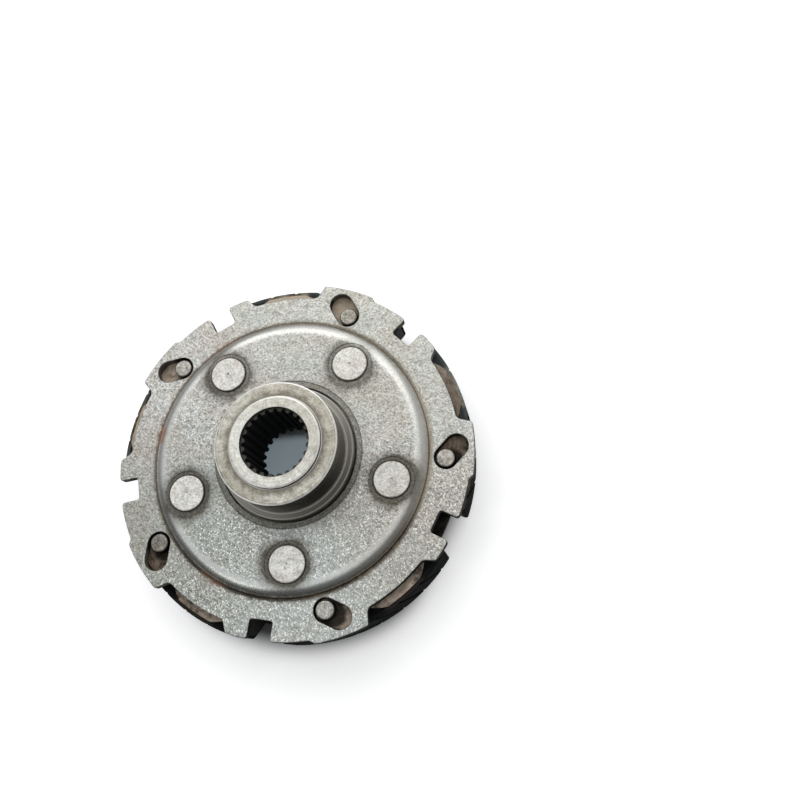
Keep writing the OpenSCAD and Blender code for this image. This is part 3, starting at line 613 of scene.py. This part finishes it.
def mouldedLining():
    # Moulded friction lining: black on its working face, its upper edge stained grey-brown, with fine pale fibres;
    # the upper edge carries painted light and shade by side and is darker towards the ends.
    look = {
        "grain": 0.7, "cloud": 3.5,  # mm; real fibres are finer, drawn coarser to show
        "faceColours": [(0.35, "#040505"), (0.6, "#090a0a"), (0.75, "#171716")],
        "upperColours": [(0.36, "#45413a"), (0.5, "#736d62"), (0.64, "#a09989")], "upper": (0.5, 0.9, 0.0, 0.9),
        # Painted shade on the upper edge on the side away from the light, and on one more side; painted light on
        # another
        "oilAndShade": (265, -0.3, 0.7), "liningShadeColour": "#302d29", "sideShades": [(182, 0.8, 1.0, "#bdb8b1")],
        "pale": ((20, 0.93, 1.0), 0.5, "#96948a"),
        "recess": (64.5, 38.0),  # mm and degrees from a post to the middle of the plate's long recess
        "endsFrom": (7.0, 9.5, 0.0, 0.85), "endsTo": (16.5, 18.0, 1.0, 0.0),  # mm from there, darker towards the ends
        "endColours": ("#3e4646", "#15181a", "#555a57"), "litEnd": (164, 0.6, 0.95),  # plain, on the shade side, on the lit side: painted shade and light
        "roughness": (0.7, 0.9), "bump": 0.06, "bumpStrength": 0.5, "specular": 0.02,
    }
    material, add = startMaterial("mouldedLining")
    place, flat, radius, level = radialPlace(add)
    side = partial(lightAndShadeSide, add, flat)
    grain = add("TexNoise", {"Vector": place, "Scale": perMm(look["grain"]), "Detail": 3.0, "Roughness": 0.7})
    cloud = add("TexNoise", {"Vector": place, "Scale": perMm(look["cloud"]), "Detail": 4.0, "Roughness": 0.6})
    face = add("ValToRGB", [grain], stops=look["faceColours"])
    upper = add("ValToRGB", [cloud], stops=look["upperColours"])
    # Painted shade on the upper edge on the side away from the light
    oilAndShade = side(*look["oilAndShade"])
    upper = add("Mix", {0: oilAndShade, 6: upper, 7: look["liningShadeColour"]}, **mix)
    upper = sideShaded(add, flat, upper, look["sideShades"])
    # Painted light on the upper edge on one side
    where, amount, colour = look["pale"]
    pale = add("Math", [side(*where), amount], operation="MULTIPLY")
    upper = add("Mix", {0: pale, 6: upper, 7: colour}, **mix)

    # The upper edge darker towards the ends of the recesses, with painted shade and light by side
    fromRecess = sameTurn(add, flat, radius, *look["recess"])
    endsFrom = add("MapRange", [fromRecess, *look["endsFrom"]], **smooth)
    endsTo = add("MapRange", [fromRecess, *look["endsTo"]], **smooth)
    ends = add("Math", [endsFrom, endsTo], operation="MULTIPLY")
    plainEnd, shadedEnd, litEnd = look["endColours"]
    endColour = add("Mix", {0: oilAndShade, 6: plainEnd, 7: shadedEnd}, **mix)
    endColour = add("Mix", {0: side(*look["litEnd"]), 6: endColour, 7: litEnd}, **mix)
    upper = add("Mix", {0: ends, 6: upper, 7: endColour}, **mix)

    upperShare = add("MapRange", [level, *look["upper"]], **smooth)
    base = add("Mix", {0: upperShare, 6: face, 7: upper}, **mix)
    rough = add("MapRange", [cloud, *spread, *look["roughness"]])
    bump = add("Bump", {"Strength": look["bumpStrength"], "Distance": look["bump"] * mm, "Height": grain})
    finishMaterial(add, {
        "Base Color": base, "Roughness": rough, "Normal": bump, "Specular IOR Level": look["specular"]})
    return material


finishes = {
    "plate": blastedSteel(),
    "hub": machinedHub(),
    "side": turnedSteel("darkRolledSteel", {
        "colours": ("#33312f", "#4a4744", "#605d58"), "roughness": (0.36, 0.5), "groove": 0.9}),
    "heads": rivetedSteel("rivetedSteel", {
        "colours": ("#b0aea5", "#d7d6cf", "#f0efea"), "rimColour": "#7d7564",
        "sideShades": [(50, -0.6, 0.6, "#e7e6e4")]}),
    "pins": rivetedSteel("wornPinSteel", {
        "colours": ("#7f7d76", "#b1afa8", "#dad9d2"), "rimColour": "#6a6256",
        "sideShades": [(85, 0.3, 0.95, "#cfccc6"), (211, 0.9, 1.0, "#c6c4bf"), (355, 0.9, 1.0, "#f0efed")]}),
    "weights": oiledCastIron(),
    "lining": mouldedLining(),
    "spring": turnedSteel("oiledSpringSteel", {
        "colours": ("#232120", "#34322f", "#4c4945"), "roughness": (0.32, 0.46), "groove": 1.2}),
    "rings": turnedSteel("phosphatedSpringSteel", {
        "colours": ("#2e2d2c", "#413f3d", "#575450"), "roughness": (0.36, 0.5), "groove": 0.8}),
}
print("materials")


# Finished copies of the CAD nodes, with their edges rounded as the real ones are

copies = {
    "sharpest": 28, "creased": 40, "flatWithin": 0.4,  # degrees: edges that are rounded, stay sharp, are dissolved
    "joined": 2e-6, "levelWithin": 1e-5,  # metres
    "profile": 0.5, "faceWeight": 100,  # edges rounded to an arc, and shading that keeps large faces flat
}


def radiusOf(point):
    return math.hypot(point.x, point.y)


def isLevel(edge):
    return abs(edge.verts[0].co.z - edge.verts[1].co.z) < copies["levelWithin"]


def roundEdges(bm, width, segments, test):
    edges = []
    for edge in bm.edges:
        if len(edge.link_faces) != 2 or edge.calc_face_angle(0.0) < math.radians(copies["sharpest"]):
            continue
        if test is None or test((edge.verts[0].co + edge.verts[1].co) / 2 / mm, edge):
            edges.append(edge)
    if edges:
        bmesh.ops.bevel(bm, geom=edges, offset=width * mm, offset_type="OFFSET", segments=segments,
                        profile=copies["profile"], affect="EDGES", clamp_overlap=False, harden_normals=False)


def finishedCopy(node, name, material, passes):  # a pass is a width in mm, its segments, and which edges
    source = frame["nodes"][node]
    mesh = bpy.data.meshes.new(name)
    bm = bmesh.new()
    bm.from_mesh(source.data)
    bmesh.ops.remove_doubles(bm, verts=bm.verts, dist=copies["joined"])
    bmesh.ops.dissolve_limit(bm, angle_limit=math.radians(copies["flatWithin"]), verts=bm.verts, edges=bm.edges)
    for width, segments, test in passes:
        roundEdges(bm, width, segments, test)
    for face in bm.faces:
        face.smooth = True
    for edge in bm.edges:
        edge.smooth = edge.calc_face_angle(0.0) < math.radians(copies["creased"])
    bm.to_mesh(mesh)
    bm.free()
    mesh.materials.clear()
    mesh.materials.append(material)
    piece = bpy.data.objects.new(name, mesh)
    bpy.context.scene.collection.objects.link(piece)
    weighted = piece.modifiers.new("faceNormals", "WEIGHTED_NORMAL")
    weighted.keep_sharp = True
    weighted.weight = copies["faceWeight"]
    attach(piece, source["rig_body"])
    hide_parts(node)


plate = {"flangeTop": 24.95, "dishTop": 27.3, "dishFoot": (50.0, 50.6), "slopeTop": 49.0}  # mm
finishedCopy("drive_plate", "drivePlate", finishes["plate"], [
    (0.4, 3, lambda p, e: p.z < plate["flangeTop"] and radiusOf(p) > plate["dishFoot"][1]),
    (0.35, 2, lambda p, e: p.z < plate["flangeTop"] and plate["dishFoot"][0] < radiusOf(p) < plate["dishFoot"][1]),
    (0.16, 2, lambda p, e: p.z > plate["dishTop"] and radiusOf(p) < plate["slopeTop"]),
])
hub = {  # mm, heights above the floor and distances from the axis
    "noseFrom": 42.0, "collarFrom": 28.0, "noseEdge": 15.0, "collarEdge": 23.0, "boreEdge": 13.0, "teeth": 12.6,
}
finishedCopy("splined_hub", "splinedHub", finishes["hub"], [
    (0.42, 3, lambda p, e: p.z > hub["noseFrom"] and radiusOf(p) > hub["noseEdge"]),
    (0.3, 3, lambda p, e: hub["collarFrom"] < p.z <= hub["noseFrom"] and radiusOf(p) > hub["collarEdge"]),
    (0.12, 2, lambda p, e: p.z <= hub["noseFrom"] and hub["boreEdge"] < radiusOf(p)
        and not (p.z > hub["collarFrom"] and radiusOf(p) > hub["collarEdge"])),
    (0.08, 1, lambda p, e: radiusOf(p) < hub["teeth"] and isLevel(e)),
])
finishedCopy("side_plate", "sidePlate", finishes["side"], [(0.25, 2, None)])
shoe = {"weightInside": 62.4, "liningFace": 64.9}  # mm
for index in range(sectors["count"]):
    number = str(index + 1)
    finishedCopy("pivot_post_" + number, "pivotPost" + number, finishes["heads"], [(0.1, 2, None)])
    finishedCopy("weight_" + number, "weight" + number, finishes["weights"], [
        (0.3, 2, lambda p, e: radiusOf(p) < shoe["weightInside"])])
    finishedCopy("lining_" + number, "lining" + number, finishes["lining"], [
        (0.2, 1, lambda p, e: radiusOf(p) > shoe["liningFace"] and isLevel(e))])
    finishedCopy("guide_pin_" + number, "guidePin" + number, finishes["pins"], [(0.12, 2, None)])
    finishedCopy("retaining_ring_" + number, "retainingRing" + number, finishes["rings"],
                 [(0.12, 1, None)])
print("finished copies")


# Return springs, as a finer round wire than the CAD's

spring = {
    "far": (53.0, -69), "near": (52.5, -90),  # mm and degrees of the two ends, for a shoe that starts at +X
    "coilDiameter": 6.2, "wire": 1.0, "turns": 8, "lead": 4.2, "height": 8.65,
    "holeRadius": 0.8, "hookTop": 6.6, "tailDrop": -6.25, "perTurn": 22, "sides": 10,
    "hook": [(0, 1.2), (0.1, 0.7), (0.35, 0.3), (0.8, 0.05)],  # the bend between a hook and the coil, in mm
    "tail": [(0, 0.6), (0.12, 0.2), (0.5, 0), (2.4, 0)],  # the foot turned out under the weight
    "blendFrom": 0.1,  # share of the length at each end that only follows its own body
}


def springLine(far, near):
    reach = (near - far).length
    slack = spring["holeRadius"] - spring["wire"] / 2
    coilRadius = (spring["coilDiameter"] - spring["wire"]) / 2
    pitch = (reach - 2 * spring["lead"]) / spring["turns"]
    steps = spring["turns"] * spring["perTurn"]
    ease = spring["perTurn"] / 2
    end = reach - slack
    line = [(slack, 0, spring["hookTop"])] + [(slack + x, 0, z) for x, z in spring["hook"]]
    for i in range(steps + 1):
        radius = coilRadius * min(1, i / ease, (steps - i) / ease)
        angle = 2 * math.pi * i / spring["perTurn"]
        along = spring["lead"] + pitch * i / spring["perTurn"]
        line.append((along, radius * math.sin(angle), radius * math.cos(angle)))
    line += [(end - x, 0, -z) for x, z in reversed(spring["hook"])]
    line += [(end + x, 0, spring["tailDrop"] + z) for x, z in spring["tail"]]
    return [Vector(p) for p in line]


def wireMesh(name, line, radius, sides):
    bm = bmesh.new()
    rings = []
    side = Vector((0, 1, 0))
    for i, point in enumerate(line):
        ahead = line[min(i + 1, len(line) - 1)] - line[max(i - 1, 0)]
        ahead.normalize()
        side = (side - ahead * side.dot(ahead)).normalized()
        up = ahead.cross(side)
        ring = []
        for j in range(sides):
            a = 2 * math.pi * j / sides
            ring.append(bm.verts.new(point + (side * math.cos(a) + up * math.sin(a)) * radius))
        rings.append(ring)
    for one, two in zip(rings, rings[1:]):
        for j in range(sides):
            bm.faces.new((one[j], one[(j + 1) % sides], two[(j + 1) % sides], two[j]))
    bm.faces.new(rings[0][::-1])
    bm.faces.new(rings[-1])
    bmesh.ops.recalc_face_normals(bm, faces=bm.faces)
    for face in bm.faces:
        face.smooth = len(face.verts) == 4
    mesh = bpy.data.meshes.new(name)
    bm.to_mesh(mesh)
    bm.free()
    return mesh


far, near = polar(*spring["far"]), polar(*spring["near"])
line = springLine(far, near)
heading = math.atan2((near - far).y, (near - far).x)
for index in range(sectors["count"]):
    number = str(index + 1)
    mesh = wireMesh("returnSpring" + number, line, spring["wire"] / 2, spring["sides"])
    mesh.materials.append(finishes["spring"])
    turn = Matrix.Rotation(sectorAngle(index), 4, "Z")
    seat = Matrix.Translation((far.x, far.y, spring["height"])) @ Matrix.Rotation(heading, 4, "Z")
    mesh.transform(Matrix.Scale(mm, 4) @ turn @ seat)
    piece = bpy.data.objects.new("returnSpring" + number, mesh)
    bpy.context.scene.collection.objects.link(piece)
    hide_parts("return_spring_" + number)
    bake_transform(piece)
print("springs")


# Floor, light and camera

def paleFloor():
    # Matt white paint: what the camera, metal and glass see of it is lifted to white, and shadows stay; shade in
    # the bore and shadow under the part are painted
    look = {
        "size": 20.0, "sides": 96,  # metres, and corners of the round floor
        "paint": "#f4f4f3", "roughness": 0.75, "lift": 0.42,
        # Painted shade in the bore, and painted shadow under the plate and shoes, in mm
        "bore": (18, 24), "boreShade": (11.5, 15.5), "boreLift": 0.165, "boreTone": "#d9f2ff",
        "under": (54, 66), "underPaint": (54, 63), "underFrom": (24, 26), "underColour": "#6a6c6d",
        "shadeSide": (265, 0.4, 0.95), "shadeShift": 7.0,  # the shade reaches further out there
    }
    material, add = startMaterial("paleFloor")
    rays = add("LightPath").node.outputs
    seen = add("Math", [rays["Is Camera Ray"], rays["Is Glossy Ray"]], operation="MAXIMUM")
    seen = add("Math", [seen, rays["Is Transmission Ray"]], operation="MAXIMUM")
    _, flat, radius, _ = radialPlace(add)
    across = add("SeparateXYZ", [flat], "Y")
    boreLift = add("MapRange", [across, *look["boreShade"], look["boreLift"], 0.0], **smooth)
    shift = add("MapRange", [lightAndShadeSide(add, flat, *look["shadeSide"]), 0.0, 1.0, 0.0, look["shadeShift"]], **smooth)
    inward = add("Math", [radius, shift], operation="SUBTRACT")
    openLift = add("MapRange", [inward, *look["under"], 0.0, look["lift"]], **smooth)
    lift = add("MapRange", [radius, *look["bore"], boreLift, openLift])
    # Painted shadow: grey paint under the part
    underFrom = add("MapRange", [radius, *look["underFrom"], 0.0, 1.0], **smooth)
    underTo = add("MapRange", [inward, *look["underPaint"], 1.0, 0.0], **smooth)
    under = add("Math", [underFrom, underTo], operation="MULTIPLY")
    paint = add("Mix", {0: under, 6: look["paint"], 7: look["underColour"]}, **mix)
    paint = add("BsdfPrincipled", {"Base Color": paint, "Roughness": look["roughness"]})
    # The painted shade in the bore has a blue tone
    outside = add("MapRange", [radius, *look["bore"], 0.0, 1.0], **smooth)
    tone = add("Mix", {0: outside, 6: look["boreTone"], 7: "#ffffff"}, **mix)
    strength = add("Math", [seen, lift], operation="MULTIPLY")
    glow = add("Emission", {"Color": tone, "Strength": strength})
    above = add("AddShader", [paint, glow])
    below = add("NewGeometry", out="Backfacing")  # clear from below, so that the rear side can be seen
    surface = add("MixShader", [below, above, add("BsdfTransparent")])
    add("OutputMaterial", {"Surface": surface})
    bm = bmesh.new()
    bmesh.ops.create_circle(bm, cap_ends=True, segments=look["sides"], radius=look["size"])
    mesh = bpy.data.meshes.new("floor")
    bm.to_mesh(mesh)
    bm.free()
    mesh.materials.append(material)
    floor = bpy.data.objects.new("floor", mesh)
    bpy.context.scene.collection.objects.link(floor)


def softLight(name, light):  # metres, watts and degrees
    a, e = math.radians(light["azimuth"]), math.radians(light["elevation"])
    lamp = bpy.data.lights.new(name, "AREA")
    lamp.shape = "DISK"
    lamp.size = light["size"]
    lamp.energy = light["power"]
    holder = bpy.data.objects.new(name, lamp)
    direction = Vector((math.cos(a) * math.cos(e), math.sin(a) * math.cos(e), math.sin(e)))
    holder.location = direction * light["distance"]
    holder.rotation_euler = direction.to_track_quat("Z", "Y").to_euler()
    bpy.context.scene.collection.objects.link(holder)


def paleRoom():
    # Bright towards the window, dimmer behind the camera, and pale all round where the floor ends
    room = {
        "towards": (0.25, 0.85, 0.45), "from": (-0.5, 0.75), "strength": (0.2, 0.9),
        "horizon": 1.0, "fadeHeight": 0.34, "colour": "#fbfcff",
    }
    world = bpy.data.worlds.new("room")
    world.use_nodes = True
    world.node_tree.nodes.clear()
    add = partial(addNode, world.node_tree)
    view = add("TexCoord", out="Generated")
    towards = Vector(room["towards"]).normalized()
    lean = add("VectorMath", [view, towards], "Value", operation="DOT_PRODUCT")
    level = add("MapRange", [lean, *room["from"], *room["strength"]], **smooth)
    height = add("SeparateXYZ", [view], "Z")
    level = add("MapRange", [height, 0.0, room["fadeHeight"], room["horizon"], level], **smooth)
    seen = add("LightPath", out="Is Camera Ray")  # white behind the part
    tone = add("Mix", {0: seen, 6: room["colour"], 7: "#ffffff"}, **mix)
    strength = add("Math", [level, seen], operation="MAXIMUM")
    add("OutputWorld", {"Surface": add("Background", {"Color": tone, "Strength": strength})})
    bpy.context.scene.world = world


def photoCamera():
    # Fitted to the round edges of the hub, posts, pins and plate
    view = {
        "place": (86.3418, -76.8068, 314.5057),  # mm
        "right": (0.98555273, -0.03205484, -0.16630786),
        "up": (0.08092277, 0.95171769, 0.29611645),
        "back": (0.14878617, -0.30529646, 0.94056193),
        "lens": 38.806, "sensor": 36.0, "nearest": 0.01,
    }
    camera = bpy.data.cameras.new("camera")
    camera.lens = view["lens"]
    camera.sensor_width = view["sensor"]
    camera.sensor_fit = "HORIZONTAL"
    camera.clip_start = view["nearest"]
    holder = bpy.data.objects.new("camera", camera)
    axes = Matrix((view["right"], view["up"], view["back"])).transposed()
    holder.matrix_world = Matrix.Translation(Vector(view["place"]) * mm) @ axes.to_4x4()
    bpy.context.scene.collection.objects.link(holder)
    bpy.context.scene.camera = holder


paleFloor()
softLight("window", {"size": 1.3, "power": 5.5, "azimuth": 98, "elevation": 48, "distance": 1.4})
softLight("lamp", {"size": 0.3, "power": 0.6, "azimuth": 212, "elevation": 54, "distance": 1.2})
paleRoom()
photoCamera()
bpy.context.scene.view_settings.view_transform = "Standard"
print("floor, light and camera")
